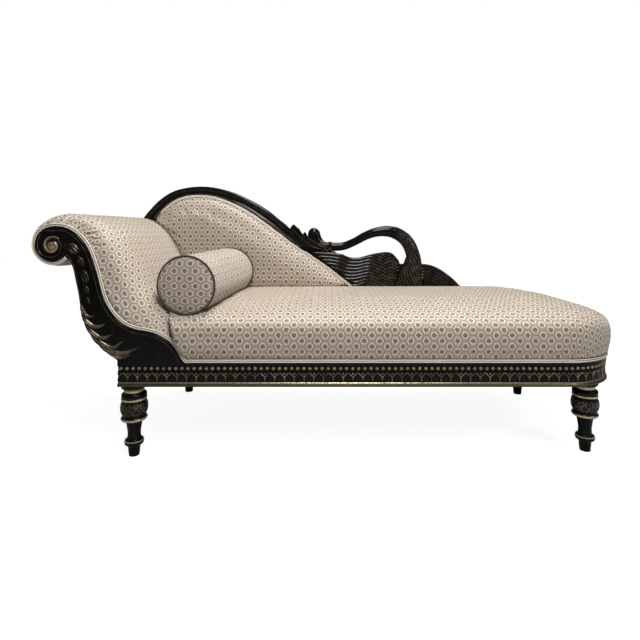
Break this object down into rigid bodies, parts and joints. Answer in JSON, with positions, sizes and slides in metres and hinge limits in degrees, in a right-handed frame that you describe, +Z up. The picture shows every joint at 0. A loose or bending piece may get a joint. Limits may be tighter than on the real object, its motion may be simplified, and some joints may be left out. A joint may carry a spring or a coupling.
{
  "type": "recamier",
  "caption": "Scroll-armed recamier with an arched half back ending in a carved swan, a crowned seat rounded at the foot, turned legs and a loose bolster.",
  "frame": {"origin": "centre of the whole piece's bounding box, on the floor", "axes": "+X towards the foot end, -Y towards the front, +Z up"},
  "size_m": [1.8669, 0.6546, 0.8865],
  "materials": {
    "ebonised_wood": "gloss",
    "gilt_wood": "satin",
    "cover_fabric": "matt",
    "welt_cord": "matt",
    "dark_cord": "matt",
    "jute_webbing": "matt",
    "canvas": "matt",
    "dust_cloth": "matt",
    "frame_wood": "satin"
  },
  "bodies": {
    "frame": {"back_canvas": "canvas", "back_outside_cover": "cover_fabric", "back_pad": "cover_fabric", "back_seat_rail": "ebonised_wood", "back_welt": "welt_cord", "base_moulding": "gilt_wood", "bead_moulding": "gilt_wood", "crest_leaf": "ebonised_wood", "crest_rail": "ebonised_wood", "cross_webbing": "jute_webbing", "deck_cloth": "canvas", "dust_cover": "dust_cloth", "end_seat_rail": "ebonised_wood", "foot_stretcher": "frame_wood", "front_corner_rail": "ebonised_wood", "front_glue_block": "frame_wood", "front_left_leg": "ebonised_wood", "front_right_leg": "ebonised_wood", "front_scroll": "ebonised_wood", "front_scroll_eye": "gilt_wood", "front_scroll_welt": "welt_cord", "front_seat_rail": "ebonised_wood", "head_canvas": "canvas", "head_low_rail": "frame_wood", "head_mid_rail": "frame_wood", "head_outside_cover": "cover_fabric", "head_pad": "cover_fabric", "head_seat_rail": "ebonised_wood", "head_stretcher": "frame_wood", "head_top_rail": "frame_wood", "head_upright": "frame_wood", "long_webbing": "jute_webbing", "neck_binding": "gilt_wood", "rear_corner_rail": "ebonised_wood", "rear_glue_block": "frame_wood", "rear_left_leg": "ebonised_wood", "rear_right_leg": "ebonised_wood", "rear_scroll": "ebonised_wood", "rear_scroll_eye": "gilt_wood", "rear_scroll_welt": "welt_cord", "seat_pad": "cover_fabric", "seat_welt": "welt_cord", "swan_backboard": "ebonised_wood", "swan_breast": "ebonised_wood", "swan_head": "ebonised_wood", "swan_left_wing": "ebonised_wood", "swan_neck": "ebonised_wood", "swan_right_wing": "ebonised_wood", "swan_upright": "frame_wood", "webbing_batten": "frame_wood"},
    "bolster": {"bolster": "cover_fabric", "bolster_front_piping": "dark_cord", "bolster_rear_piping": "dark_cord"}
  },
  "joints": [
    {"name": "bolster_lift", "type": "slide", "parent": "frame", "child": "bolster", "axis": [0, 0, 1], "range_m": [0, 0.5]}
  ]
}
